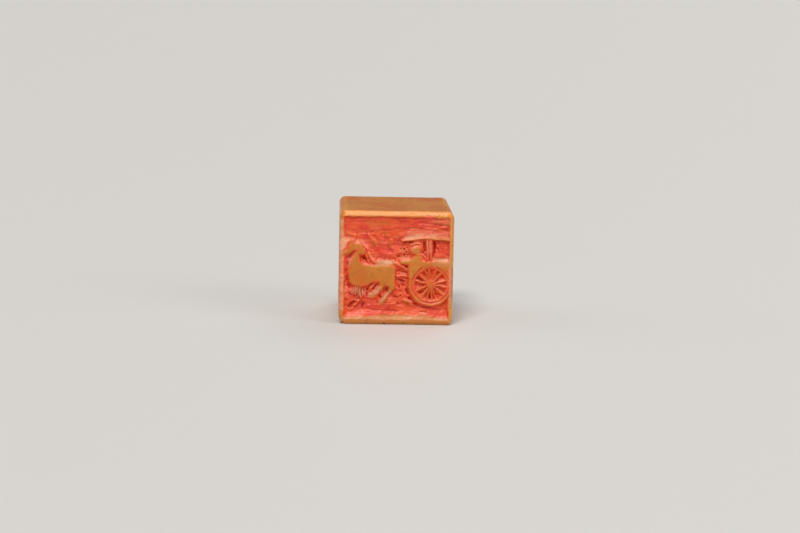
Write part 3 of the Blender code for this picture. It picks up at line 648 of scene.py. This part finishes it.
def ring_places():
    """Outlines round the block and where they lie along it, from behind the carved end to the plain one."""
    for step in range(1, BEVEL_RINGS + 1):
        share = step / BEVEL_RINGS
        swell = math.pi / 2 * share
        drawn_in = (1 - BEVEL_SWELL) * (1 - share) + BEVEL_SWELL * (1 - math.sin(swell))
        along = (1 - BEVEL_SWELL) * share + BEVEL_SWELL * (1 - math.cos(swell))
        bevel = outline(SIDE_BEVEL * drawn_in, TOP_BEVEL * drawn_in, FOOT_BEVEL * drawn_in, FACE_CELLS)
        yield bevel, FRONT + BEVEL_DEPTH * along
    block = outline(0, 0, 0, BLOCK_CELLS)
    for y in np.linspace(FRONT + BEVEL_DEPTH, LENGTH / 2 - BACK_ROUNDING, BLOCK_RINGS + 1)[1:]:
        yield block, y
    for step in range(1, BACK_RINGS):
        turn = math.pi / 2 * step / BACK_RINGS
        drawn_in = BACK_ROUNDING * (1 - math.cos(turn))
        rounded = outline(drawn_in, drawn_in, drawn_in, BLOCK_CELLS)
        yield rounded, LENGTH / 2 - BACK_ROUNDING * (1 - math.sin(turn))


def make_stone_mesh():
    """The whole stone as one closed mesh, in metres, with what its finish needs at each point."""
    points, faces = [], []

    def add_points(rows, y):
        first = sum(len(part) for part in points)
        points.append(np.stack([rows[:, 0], np.broadcast_to(y, len(rows)), rows[:, 1]], axis=1))
        return np.arange(first, first + len(rows))

    face = fill_outline(outline(SIDE_BEVEL, TOP_BEVEL, FOOT_BEVEL, FACE_CELLS))
    face_depth, inside_face_form = carved_depth(face)
    add_points(face.reshape(-1, 2), FRONT + face_depth.ravel())
    faces += grid_faces(FACE_CELLS, 0, False).tolist()
    ring = grid_border(FACE_CELLS, 0)
    for rows, y in ring_places():
        following = add_points(rows, y)
        faces_between = band_faces if len(following) == len(ring) else thinning_faces
        faces += faces_between(ring, following).tolist()
        ring = following
    end = fill_outline(outline(BACK_ROUNDING, BACK_ROUNDING, BACK_ROUNDING, BLOCK_CELLS))
    first = add_points(end.reshape(-1, 2), LENGTH / 2)[0]
    faces += grid_faces(BLOCK_CELLS, first, True).tolist()
    faces += band_faces(ring, grid_border(BLOCK_CELLS, first)).tolist()

    points = np.concatenate(points)
    behind_face = (0, len(points) - face_depth.size)
    depth = np.pad(face_depth.ravel(), behind_face)
    inside_form = np.pad(inside_face_form.ravel(), behind_face, constant_values=FAR)
    # The painted highlight: slopes of the carved end that look up, and listed places, are painted pale
    face_slope = np.gradient(face_depth, axis=0) / np.gradient(face[..., 1], axis=0)
    pale = painted_highlight_cover(points, depth, face_slope.ravel())
    paste = paste_cover(points, depth, inside_form)
    inwards = np.array((0, 0, HEIGHT / 2)) - points
    near_end = np.abs(points[:, 1]) > LENGTH / 2 - NICK_END_ZONE
    inwards[:, 1] = np.where(near_end, -np.sign(points[:, 1]) * NICK_END_PULL, 0)
    inwards /= np.linalg.norm(inwards, axis=1)[:, None]
    for x, back, z, radius, deep in NICKS:
        away = np.linalg.norm(points - (x, FRONT + back, z), axis=1)
        away = away * (1 + 0.25 * clouds(points, (0.5, 0.5, 0.5), 61)) / radius
        points = points + inwards * (deep * np.clip(1 - away * away, 0, 1))[:, None]
    mesh = bpy.data.meshes.new("seal_stone_body")
    mesh.from_pydata((points * MM).tolist(), [], faces)
    # pale carries the painted highlight
    for name, values in (("ground", depth / GROUND_DEPTH), ("paste", paste), ("pale", pale)):
        mesh.attributes.new(name, "FLOAT", "POINT").data.foreach_set("value", values.astype(np.float32))
    mesh.polygons.foreach_set("use_smooth", np.ones(len(mesh.polygons), bool))
    return mesh


# Nodes are laid out in rows of this many, so far apart
NODES_IN_ROW = 12
NODE_STEP = (190, -260)


def named(sockets, name):
    """The socket of that name which is in use, since some nodes have one for each kind of data."""
    return next(item for item in sockets if item.name == name and item.enabled)


class Value:
    """A node's output. Sums and products of it make Math nodes."""

    def __init__(self, desk, output):
        self.desk = desk
        self.output = output

    def __add__(self, other):
        return self.desk.math("ADD", self, other)

    def __sub__(self, other):
        return self.desk.math("SUBTRACT", self, other)

    def __rsub__(self, other):
        return self.desk.math("SUBTRACT", other, self)

    def __mul__(self, other):
        return self.desk.math("MULTIPLY", self, other)

    def rise(self, low, high, bottom=0.0, top=1.0):
        """A smooth climb from bottom to top as the value goes from low to high."""
        return self.desk.add("ShaderNodeMapRange", {"interpolation_type": "SMOOTHSTEP"}, Value=self,
                             From_Min=low, From_Max=high, To_Min=bottom, To_Max=top)["Result"]

    def fall(self, low, high, top=1.0):
        return self.rise(low, high, top, 0.0)


class NodeDesk:
    """Adds nodes to a tree and joins them: an input may be a plain value or another node's output."""

    def __init__(self, tree):
        self.tree = tree

    def add(self, kind, settings=None, *values, **inputs):
        """A new node, with inputs by number and by name. Returns its outputs by name."""
        row, column = divmod(len(self.tree.nodes), NODES_IN_ROW)
        node = self.tree.nodes.new(kind)
        node.location = (NODE_STEP[0] * column, NODE_STEP[1] * row)
        for name, value in (settings or {}).items():
            setattr(node, name, value)
        for number, value in enumerate(values):
            self.join(value, node.inputs[number])
        for name, value in inputs.items():
            self.join(value, named(node.inputs, name.replace("_", " ")))
        # Of outputs with the same name, the one that is in use comes last
        outputs = sorted(node.outputs, key=lambda item: item.enabled)
        return {item.name: Value(self, item) for item in outputs}

    def join(self, value, target):
        if isinstance(value, Value):
            self.tree.links.new(value.output, target)
        else:
            target.default_value = (*value, 1) if target.type == "RGBA" else value

    def math(self, operation, *values):
        return self.add("ShaderNodeMath", {"operation": operation}, *values)["Value"]

    def vector(self, operation, *values, **inputs):
        outputs = self.add("ShaderNodeVectorMath", {"operation": operation}, *values, **inputs)
        return outputs["Value" if operation == "DOT_PRODUCT" else "Vector"]

    def noise(
        self, place, scale, detail=2.0, roughness=0.5, distortion=0.0, stretch=(1, 1, 1), turn=(0, 0, 0)
    ):
        """Noise from 0 to 1. stretch squeezes the pattern along each axis, after it is turned."""
        mapped = self.add("ShaderNodeMapping", {"vector_type": "TEXTURE"}, Vector=place, Rotation=turn,
                          Scale=tuple(1 / part for part in stretch))["Vector"]
        return self.add("ShaderNodeTexNoise", Vector=mapped, Scale=scale, Detail=detail,
                        Roughness=roughness, Distortion=distortion)["Fac"]

    def object_place(self):
        return self.add("ShaderNodeTexCoord")["Object"]

    def mask(self, name):
        """A value that the mesh has at each point."""
        return self.add("ShaderNodeAttribute", {"attribute_name": name})["Fac"]

    def group(self, tree, **inputs):
        return self.add("ShaderNodeGroup", {"node_tree": tree}, **inputs)

    def blend(self, share, a, b, kind="MIX"):
        """Colour a where share is 0 and b where it is 1."""
        return self.add("ShaderNodeMix", {"data_type": "RGBA", "blend_type": kind}, share, A=a, B=b)["Result"]

    def coats(self, color, *coats):
        """A colour under others, each laid on by its share."""
        for share, coat in coats:
            color = self.blend(share, color, coat)
        return color


def new_group(name, kind, inputs, **outputs):
    """A node group. Inputs are given by their values, or by their kind, and outputs by their kind."""
    tree = bpy.data.node_groups.new(name, kind + "NodeTree")
    kinds = {float: "Float", int: "Int", tuple: "Color"}
    for label, value in inputs.items():
        kind = kinds.get(type(value), value)
        made = tree.interface.new_socket(label, in_out="INPUT", socket_type=f"NodeSocket{kind}")
        if kind != value:
            made.default_value = (*value, 1) if kind == "Color" else value
    for label, kind in outputs.items():
        tree.interface.new_socket(label, in_out="OUTPUT", socket_type=f"NodeSocket{kind}")
    desk = NodeDesk(tree)
    return desk, desk.add("NodeGroupInput")


def make_tool_marks_tree():
    """Cuts the chisel's strokes into the ground, makes the skin uneven, and marks hollows and edges."""
    desk, given = new_group(
        "tool_marks_and_wear",
        "Geometry",
        {
            "Geometry": "Geometry",
            "Stroke Depth": 0.0, "Stroke Length": 1.0, "Stroke Width": 1.0,
            "Skin Depth": 0.0, "Skin Size": 1.0, "Hollow Size": 4, "Hollow Gain": 1.0, "Seed": 0,
            "Stone": "Material", "Carved Stone": "Material",
        },
        Geometry="Geometry",
    )
    place = desk.add("GeometryNodeInputPosition")["Position"]
    normal = desk.add("GeometryNodeInputNormal")["Normal"]
    ground, paste = (
        desk.add("GeometryNodeInputNamedAttribute", {"data_type": "FLOAT"}, Name=name)["Attribute"]
        for name in ("ground", "paste")
    )
    noise_4d = {"noise_dimensions": "4D"}

    length = given["Stroke Length"]
    sizes = desk.add("ShaderNodeCombineXYZ", X=length, Y=length, Z=given["Stroke Width"])["Vector"]
    stroke_place = desk.vector("DIVIDE", place, sizes)
    bend = desk.add("ShaderNodeTexNoise", noise_4d, Vector=stroke_place, W=given["Seed"],
                    Scale=0.7, Detail=1.0)["Color"]
    scoops = desk.add("ShaderNodeTexVoronoi", {"voronoi_dimensions": "3D", "feature": "SMOOTH_F1"},
                      Vector=desk.vector("ADD", stroke_place, desk.vector("SCALE", bend, Scale=1.3)),
                      Scale=1.0, Smoothness=0.12, Randomness=0.9)["Distance"]
    depth = (0.25 - desk.math("POWER", scoops, 2.0)) * given["Stroke Depth"] * ground.rise(0.25, 0.85)
    cut = desk.add("ShaderNodeCombineXYZ", X=0.0, Y=depth, Z=0.0)["Vector"]
    carved = desk.add("GeometryNodeSetPosition", Geometry=given["Geometry"], Offset=cut)["Geometry"]

    skin = desk.add("ShaderNodeTexNoise", noise_4d, Vector=desk.vector("DIVIDE", place, given["Skin Size"]),
                    W=given["Seed"], Scale=1.0, Detail=2.0, Roughness=0.45, Distortion=0.2)["Fac"]
    skin = desk.vector("SCALE", normal, Scale=(skin - 0.72) * given["Skin Depth"])
    worn = desk.add("GeometryNodeSetPosition", Geometry=carved, Offset=skin)["Geometry"]

    smoothed = desk.add("GeometryNodeBlurAttribute", {"data_type": "FLOAT_VECTOR"}, Value=place,
                        Iterations=given["Hollow Size"], Weight=1.0)["Value"]
    lift = desk.vector("DOT_PRODUCT", desk.vector("SUBTRACT", smoothed, place), normal) * given["Hollow Gain"]
    marked = desk.add("GeometryNodeStoreNamedAttribute", {"data_type": "FLOAT", "domain": "POINT"},
                      Geometry=worn, Name="hollow", Value=lift)["Geometry"]

    realized = desk.add("GeometryNodeRealizeInstances", Geometry=marked)["Geometry"]
    near_paste = desk.add("FunctionNodeCompare", {"data_type": "FLOAT", "operation": "GREATER_THAN"},
                          A=paste, B=0.001)["Result"]
    plain = desk.add("GeometryNodeSetMaterial", Geometry=realized, Material=given["Stone"])["Geometry"]
    pasted = desk.add("GeometryNodeSetMaterial", Geometry=plain, Selection=near_paste,
                      Material=given["Carved Stone"])["Geometry"]
    desk.add("NodeGroupOutput", Geometry=pasted)
    return desk.tree


def place_object(name, data):
    made = bpy.data.objects.new(name, data)
    bpy.context.scene.collection.objects.link(made)
    return made


def apply_tree(mesh, tree, values):
    """The mesh after a tree of Geometry Nodes with the given inputs, as a new plain mesh."""
    holder = place_object("holder", mesh)
    modifier = holder.modifiers.new("tree", "NODES")
    modifier.node_group = tree
    for item in tree.interface.items_tree:
        if item.item_type == "SOCKET" and item.in_out == "INPUT" and item.name in values:
            modifier[item.identifier] = values[item.name]
    graph = bpy.context.evaluated_depsgraph_get()
    made = bpy.data.meshes.new_from_object(holder.evaluated_get(graph), depsgraph=graph)
    bpy.data.objects.remove(holder)
    return made


# Materials


def make_stone_clouds_group():
    """The stone's own colour: honey clouds, orange bands, pale wisps, brown threads and dark grains."""
    desk, given = new_group(
        "stone_clouds",
        "Shader",
        {
            "Honey": (0.57, 0.163, 0.007), "Pale": (0.61, 0.215, 0.020),
            "Orange": (0.58, 0.130, 0.004), "Brown": (0.20, 0.045, 0.008), "Threads": 0.35,
        },
        Color="Color", Height="Float",
    )
    place = desk.object_place()
    big = desk.noise(place, 120.0, 5.0, 0.6, 0.6)
    wisps = desk.noise(place, 380.0, 4.0, 0.65, 1.2, (1.0, 0.35, 1.3), (0.2, 0.1, 0.35))
    bands = desk.noise(place, 85.0, 3.0, 0.5, 0.9, (1.6, 0.5, 1.0), (0.5, 0.25, 0.15))
    threads = desk.noise(place, 130.0, 4.0, 0.55, 1.4)
    grain = desk.noise(place, 4200.0, 2.0, 0.6)
    cells = desk.add("ShaderNodeTexVoronoi", {"feature": "F1"}, Vector=place, Scale=900.0, Randomness=1.0)
    thread = desk.math("ABSOLUTE", threads - 0.5).fall(0.0, 0.008) * big.rise(0.5, 0.62)
    speck = cells["Distance"].fall(0.05, 0.16) * wisps.rise(0.5, 0.6, top=0.6)
    color = desk.coats(
        given["Honey"],
        (big.rise(0.38, 0.62, top=0.9), given["Pale"]),
        (bands.rise(0.46, 0.64, top=0.9), given["Orange"]),
        (wisps.rise(0.52, 0.72, top=0.55), given["Pale"]),
        (wisps.rise(0.46, 0.26, top=0.35), given["Brown"]),
        (thread * given["Threads"], given["Brown"]),
        (speck, given["Brown"]),
    )
    fine = desk.blend(grain.rise(0.35, 0.65), (0.90, 0.88, 0.86), (1.0, 1.0, 1.0))
    color = desk.blend(1.0, color, fine, "MULTIPLY")
    desk.add("NodeGroupOutput", Color=color, Height=grain * 0.08 - thread * 0.5 - speck * 0.6)
    return desk.tree


def make_scratches_group():
    """Fine scratches from handling and from the polishing stone, in three directions."""
    desk, given = new_group(
        "fine_scratches", "Shader", {"Amount": 1.0, "Fineness": 1.0}, Height="Float", Dullness="Float"
    )
    place = desk.vector("SCALE", desk.object_place(), Scale=given["Fineness"])
    total = 0.0
    for turn, stretch in (
        ((0.2, 0.45, 0.6), (0.06, 2.4, 2.4)),
        ((0.5, -0.7, 0.2), (2.2, 2.2, 0.07)),
        ((0.7, 0.3, 1.0), (2.6, 0.05, 2.6)),
    ):
        lines = desk.noise(place, 2100.0, 1.0, 0.4, 0.0, stretch, turn)
        gate = desk.noise(place, 260.0, 1.0, turn=turn)
        total = lines.rise(0.62, 0.74) * gate.rise(0.52, 0.7) + total
    total = total * given["Amount"]
    desk.add("NodeGroupOutput", Height=total * -1.0, Dullness=total)
    return desk.tree


def make_hollows_group():
    """Masks for hollows, which are painted darker as shade and where paste gathers, and for edges, which are
    painted lighter as rubbed wear and as a highlight.
    """
    desk, given = new_group(
        "hollows_and_edges", "Shader", {"Hollow From": 0.1, "Edge From": 0.1}, Hollow="Float", Edge="Float"
    )
    ragged = desk.noise(desk.object_place(), 1900.0, 3.0, 0.6)
    bent = desk.mask("hollow") + (ragged - 0.5) * 0.35
    hollow = bent.rise(given["Hollow From"], given["Hollow From"] + 0.9)
    edge = (bent * -1.0).rise(given["Edge From"], given["Edge From"] + 0.9)
    desk.add("NodeGroupOutput", Hollow=hollow, Edge=edge)
    return desk.tree


def new_material(name, roughness, waxy):
    """A material with the seal's waxy sheen. Returns it, a desk for its nodes and the shader's inputs."""
    material = bpy.data.materials.new(name)
    material.use_nodes = True
    shader = material.node_tree.nodes["Principled BSDF"].inputs
    shader["Roughness"].default_value = roughness
    shader["IOR"].default_value = 1.43
    shader["Subsurface Weight"].default_value = waxy
    shader["Subsurface Radius"].default_value = (1.0, 0.35, 0.12)
    shader["Subsurface Scale"].default_value = 0.0012
    return material, NodeDesk(material.node_tree), shader


def finish_material(desk, shader, color, rough, height, bump_strength, bump_metres):
    """Joins a finish to its shader, with its small relief as a bump."""
    bump = desk.add("ShaderNodeBump", Strength=bump_strength, Distance=bump_metres, Height=height)["Normal"]
    desk.join(color, shader["Base Color"])
    desk.join(rough, shader["Roughness"])
    desk.join(bump, shader["Normal"])


def make_stone_material(stone_clouds, scratches, hollows):
    """Polished honey stone, with edges painted lighter as rubbed wear and as a highlight, most on the bevel
    round the carved end, darker low down, painted shade in its hollows and nicks, and faint smudges of paste.
    """
    material, desk, shader = new_material("honey_stone", 0.32, 0.18)
    place = desk.object_place()
    stone = desk.group(stone_clouds)
    marks = desk.group(scratches, Amount=0.7, Fineness=1.0)
    bent = desk.group(hollows, Hollow_From=0.25, Edge_From=0.15)
    dull = desk.noise(place, 230.0, 4.0, 0.6, 0.5)
    smudge = desk.noise(place, 300.0, 3.0, 0.65, 0.3, (1.0, 1.3, 0.8))
    along = desk.add("ShaderNodeSeparateXYZ", Vector=place)
    # Darker low down, where the noise lets it
    low = along["Z"].fall(0.2 * MM, 1.6 * MM) * dull.rise(0.38, 0.6)
    near_front = along["Y"].fall((FRONT + 1) * MM, (FRONT + 9) * MM)
    red = smudge.rise(0.58, 0.74, top=0.4) * (near_front + 0.04)
    # Painted highlight: the bevel round the carved end is painted lighter
    front_edge = along["Y"].fall((FRONT + 0.7) * MM, (FRONT + 1.4) * MM, 0.6)
    color = desk.coats(
        stone["Color"],
        (bent["Edge"] * dull.rise(0.36, 0.6, 0.15, 0.5) + front_edge, (0.80, 0.32, 0.07)),
        (red, (0.68, 0.12, 0.05)),
        (low * 0.07, (0.22, 0.055, 0.014)),
        # Painted shade: hollows and nicks are painted darker
        (bent["Hollow"] * 0.7, (0.2, 0.04, 0.012)),
        (marks["Dullness"] * 0.15, (0.78, 0.5, 0.28)),
    )
    rough = dull.rise(0.35, 0.65, 0.25, 0.33) + marks["Dullness"] * 0.15
    height = stone["Height"] + marks["Height"] * 0.6
    finish_material(desk, shader, color, rough, height, 0.5, 0.05 * MM)
    return material


def make_carved_material(stone_clouds, scratches, hollows):
    """The carved end: the same stone on the forms, and red seal paste, thick in the ground, with painted
    highlights on slopes that look up and painted shade in hollows and deep cuts.
    """
    material, desk, shader = new_material("red_pasted_stone", 0.33, 0.2)
    place = desk.object_place()
    stone = desk.group(stone_clouds, Threads=0.1)
    marks = desk.group(scratches, Amount=1.0, Fineness=1.2)
    bent = desk.group(hollows, Hollow_From=0.0, Edge_From=0.05)
    smears = desk.noise(place, 420.0, 3.0, 0.55, 1.0, (0.6, 1.0, 1.7))
    lumps = desk.noise(place, 1500.0, 3.0, 0.65)
    broad = desk.noise(place, 210.0, 2.0, 0.5, 0.5)
    fine = desk.noise(place, 4200.0, 2.0, 0.6)
    deep = desk.mask("ground")
    # Painted highlight: where the mesh's pale mask is set, paste and stone are painted paler
    pale = desk.mask("pale") * smears.rise(0.34, 0.6, 0.3, 1.0)
    film = (desk.mask("paste") + (lumps - 0.5) * 0.5).rise(0.08, 0.78)
    # Hollows painted darker red: paste pooled there, and painted shade
    pooled_paste_and_shade = bent["Hollow"] * lumps.rise(0.4, 0.62)
    red = desk.coats(
        (0.72, 0.045, 0.017),
        (broad.rise(0.36, 0.64), (0.76, 0.080, 0.012)),
        (smears.rise(0.42, 0.72, top=0.7), (0.83, 0.15, 0.055)),
        (smears.rise(0.46, 0.28, top=0.6), (0.58, 0.025, 0.009)),
        # Edges painted lighter: rubbed paste and a painted highlight
        (bent["Edge"] * 0.35, (0.88, 0.26, 0.10)),
        (pale * 0.8, (0.88, 0.40, 0.24)),
        (pooled_paste_and_shade * 0.6, (0.42, 0.012, 0.004)),
        # Painted shade: cuts and pits deeper than the ground are painted darker red
        (deep.rise(1.0, 1.4, top=0.8), (0.42, 0.006, 0.001)),
        (deep.rise(1.3, 1.7, top=0.8), (0.22, 0.002, 0.0)),
    )
    stained = desk.coats(
        stone["Color"],
        # Painted shade: stone that stands below the face is painted darker, olive-brown
        (deep.rise(0.12, 0.5, top=0.75), (0.42, 0.112, 0.022)),
        (film.rise(0.0, 0.5, top=0.8), (0.66, 0.120, 0.010)),
        (pale * 0.75, (0.82, 0.42, 0.26)),
    )
    color = desk.blend(film.rise(0.3, 0.95), stained, red)
    rough = lumps.rise(0.3, 0.7, 0.30, 0.46) + deep.rise(1.0, 1.6, top=0.3)
    height = stone["Height"] * 0.3 + film * (lumps * 0.7 + fine * 0.25) + marks["Height"] * 0.25
    finish_material(desk, shader, color, rough, height, 0.6, 0.08 * MM)
    return material


# The stage

CAMERA_PLACE = Vector((-0.0143, -0.4498, 0.0746))
CAMERA_AIM = Vector((0.0, -0.015, 0.012))
CAMERA_ROLL = math.radians(1.1)
FOCAL_PIXELS = 2098.6
FRAME_PIXELS = (800, 533)
AIM_PIXEL = (396.39, 268.57)
SENSOR_WIDTH = 36.0
STAGE_COLOUR = (0.62, 0.61, 0.595)
FLOOR_HALF = 8.0
# Strength of the backdrop's own light, which looks as pale as the floor but gives less light than that
SKY_STRENGTH = 0.28
WARM_WHITE = (1.0, 0.985, 0.96)
# Even lights: direction, strength, width of the softbox in degrees, colour
SOFTBOXES = {
    "main_softbox": ((-0.20, -0.60, 0.78), 1.72, 18, (1.0, 0.975, 0.945)),
    "low_softbox": ((-0.10, -1.00, 0.0), 0.52, 24, (1.0, 0.98, 0.95)),
    "overhead_softbox": ((0.0, -0.12, 1.0), 1.0, 24, WARM_WHITE),
    "right_softbox": ((0.75, -0.50, 0.40), 0.68, 30, WARM_WHITE),
    "left_softbox": ((-0.90, 0.15, 0.45), 0.35, 40, WARM_WHITE),
    "rear_softbox": ((0.35, 0.62, 0.70), 0.45, 40, WARM_WHITE),
}


def add_camera():
    """The photograph's view: from a little above and to the left, with a long lens."""
    camera = bpy.data.cameras.new("camera")
    camera.sensor_width = SENSOR_WIDTH
    camera.lens = FOCAL_PIXELS / FRAME_PIXELS[0] * SENSOR_WIDTH
    camera.clip_start = 0.01
    camera.clip_end = 60.0
    turn = (CAMERA_AIM - CAMERA_PLACE).to_track_quat("-Z", "Y").to_matrix().to_4x4()
    turn = turn @ Matrix.Rotation(CAMERA_ROLL, 4, "Z")
    # The aim lies a few pixels off the middle of the frame
    for k, axis in ((0, "Y"), (1, "X")):
        off_middle = AIM_PIXEL[k] - FRAME_PIXELS[k] / 2
        turn = turn @ Matrix.Rotation(math.atan(off_middle / FOCAL_PIXELS), 4, axis)
    holder = place_object("camera", camera)
    holder.matrix_world = Matrix.Translation(CAMERA_PLACE) @ turn
    bpy.context.scene.camera = holder


def add_stage():
    """A plain pale floor, soft light from above and in front, and an even sky."""
    mesh = bpy.data.meshes.new("floor")
    corners = ((-1, -1), (1, -1), (1, 1), (-1, 1))
    mesh.from_pydata([(FLOOR_HALF * x, FLOOR_HALF * y, 0) for x, y in corners], [], [(0, 1, 2, 3)])
    floor = place_object("floor", mesh)
    material = bpy.data.materials.new("pale_floor")
    material.use_nodes = True
    shader = material.node_tree.nodes["Principled BSDF"].inputs
    shader["Base Color"].default_value = (*STAGE_COLOUR, 1)
    shader["Roughness"].default_value = 0.6
    mesh.materials.append(material)

    for name, (direction, strength, width, color) in SOFTBOXES.items():
        light = bpy.data.lights.new(name, "SUN")
        light.energy = strength
        light.angle = math.radians(width)
        light.color = color
        holder = place_object(name, light)
        holder.rotation_mode = "QUATERNION"
        holder.rotation_quaternion = Vector(direction).to_track_quat("Z", "Y")

    world = bpy.data.worlds.new("studio")
    bpy.context.scene.world = world
    world.use_nodes = True
    desk = NodeDesk(world.node_tree)
    background = world.node_tree.nodes["Background"].inputs
    desk.join(STAGE_COLOUR, background["Color"])
    seen = desk.add("ShaderNodeLightPath")["Is Camera Ray"]
    desk.join(seen.rise(0.0, 1.0, SKY_STRENGTH, 1.0), background["Strength"])


def make_stone():
    finishes = make_stone_clouds_group(), make_scratches_group(), make_hollows_group()
    values = {
        "Stroke Depth": 0.3 * MM,
        "Stroke Length": 3.0 * MM,
        "Stroke Width": 0.75 * MM,
        "Skin Depth": 0.12 * MM,
        "Skin Size": 5.0 * MM,
        "Hollow Size": 5,
        "Hollow Gain": 1 / (0.05 * MM),
        "Seed": 7,
        "Stone": make_stone_material(*finishes),
        "Carved Stone": make_carved_material(*finishes),
    }
    body = apply_tree(make_stone_mesh(), make_tool_marks_tree(), values)
    stone = place_object("carved_stone", body)
    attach(stone, "root")
    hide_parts("seal_stone")


make_stone()
add_camera()
add_stage()
bpy.context.scene.view_settings.view_transform = "Standard"
